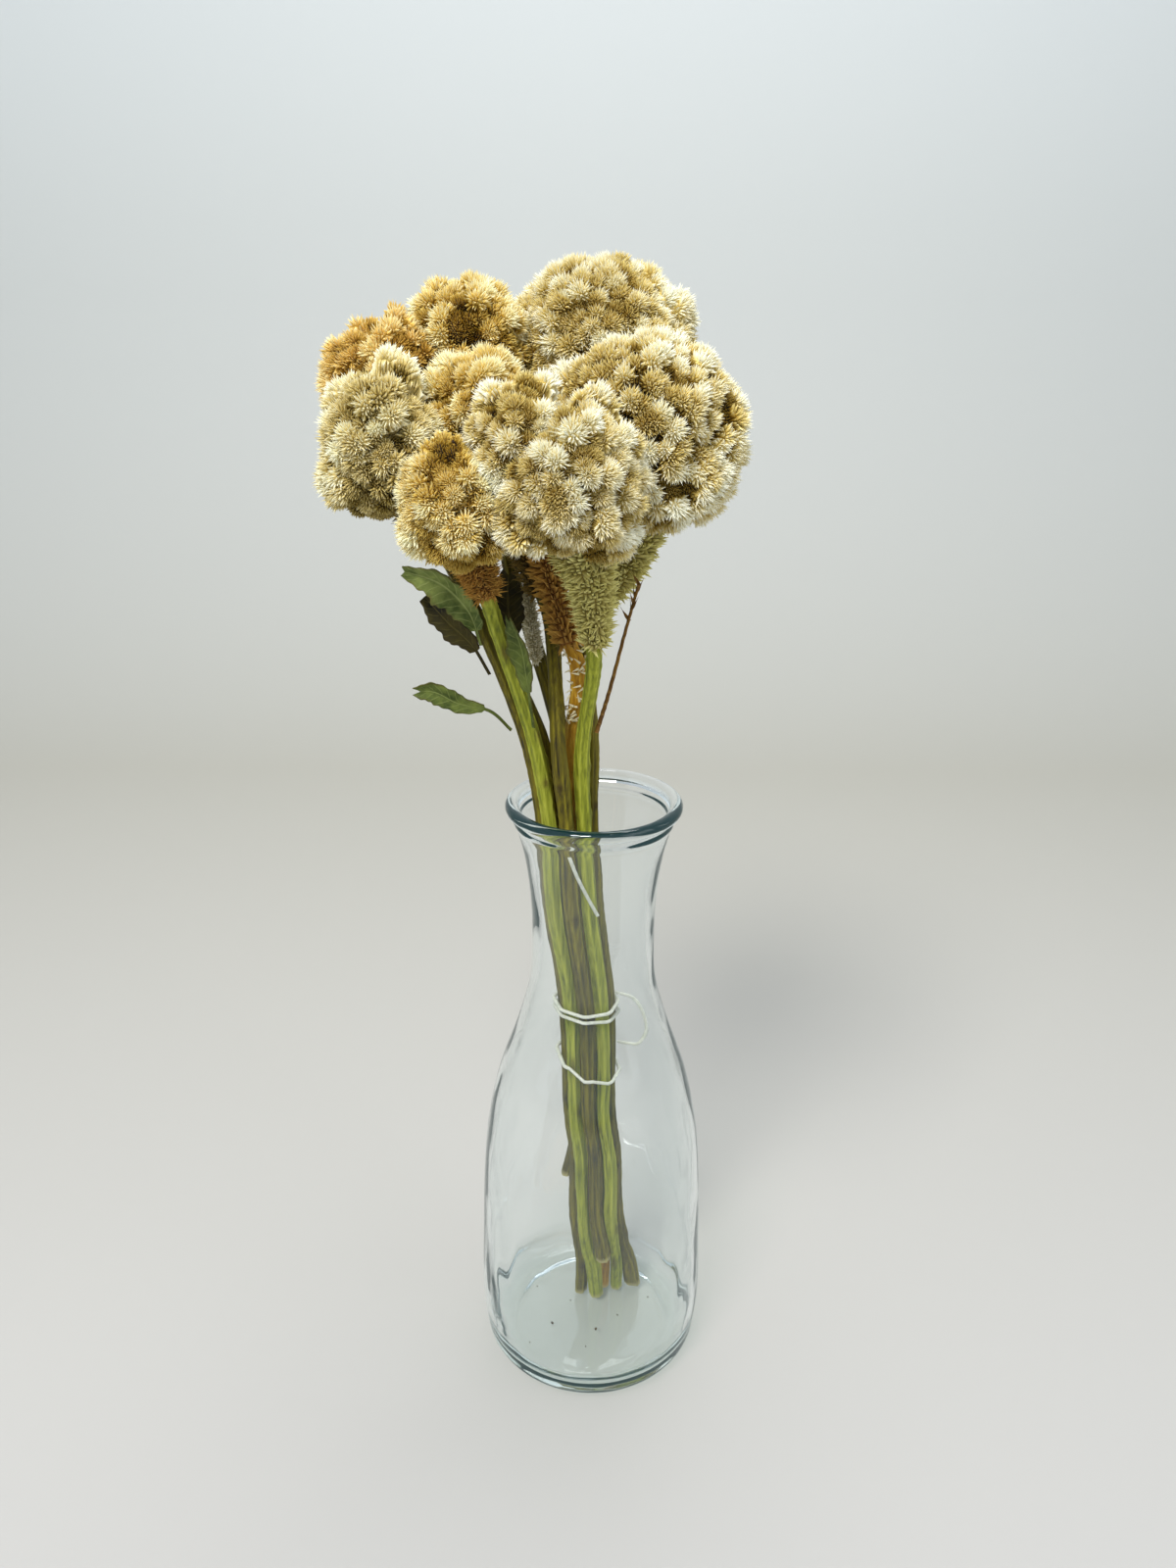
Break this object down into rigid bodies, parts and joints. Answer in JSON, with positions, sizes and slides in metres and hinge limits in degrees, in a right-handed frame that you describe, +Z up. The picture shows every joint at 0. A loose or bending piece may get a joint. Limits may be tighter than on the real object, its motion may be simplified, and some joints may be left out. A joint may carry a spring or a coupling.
{
  "type": "dried celosia in vase",
  "caption": "Bunch of dried cockscomb celosia with crested fuzzy heads, stems and leaves, tied with rubber bands and standing in a clear glass carafe vase.",
  "frame": {"origin": "centre of the vase's flat underside", "axes": "+Z up along the vase's axis; -Y faces the viewer of the picture, +X to their right"},
  "size_m": [0.147, 0.1321, 0.4585],
  "materials": {
    "glass": "clear blown glass",
    "cream_florets": "dry fuzzy florets, cream tips",
    "straw_florets": "dry fuzzy florets, straw",
    "amber_florets": "dry fuzzy florets, amber",
    "pale_florets": "dry fuzzy florets, pale",
    "white_florets": "dry fuzzy florets, white",
    "lime_stem": "ribbed dry green stem",
    "olive_stem": "ribbed dry olive stem",
    "amber_stem": "ribbed dry amber stem",
    "leaf": "dry curled leaf",
    "dark_leaf": "dark withered leaf",
    "rubber": "translucent pale rubber"
  },
  "bodies": {
    "root": {"vase": "glass", "band_low": "rubber", "band_slack": "rubber", "band_strand": "rubber", "band_tie_lower": "rubber", "band_tie_upper": "rubber", "head_front_left": "straw_florets", "head_front_middle": "cream_florets", "head_front_yellow": "cream_florets", "head_left_back": "amber_florets", "head_left_front": "pale_florets", "head_middle": "straw_florets", "head_right": "cream_florets", "head_top_left": "straw_florets", "head_top_right": "cream_florets", "leaf_bright": "leaf", "leaf_dark": "dark_leaf", "leaf_folded": "leaf", "leaf_left": "leaf", "leaf_narrow": "dark_leaf", "leaf_pale": "leaf", "leaf_withered": "dark_leaf", "spike_white": "white_florets", "stem_front_left": "lime_stem", "stem_front_middle": "lime_stem", "stem_front_yellow": "amber_stem", "stem_left_back": "olive_stem", "stem_left_front": "olive_stem", "stem_middle": "olive_stem", "stem_right": "olive_stem", "stem_top_left": "olive_stem", "stem_top_right": "olive_stem", "twig": "dark_leaf"}
  },
  "joints": []
}
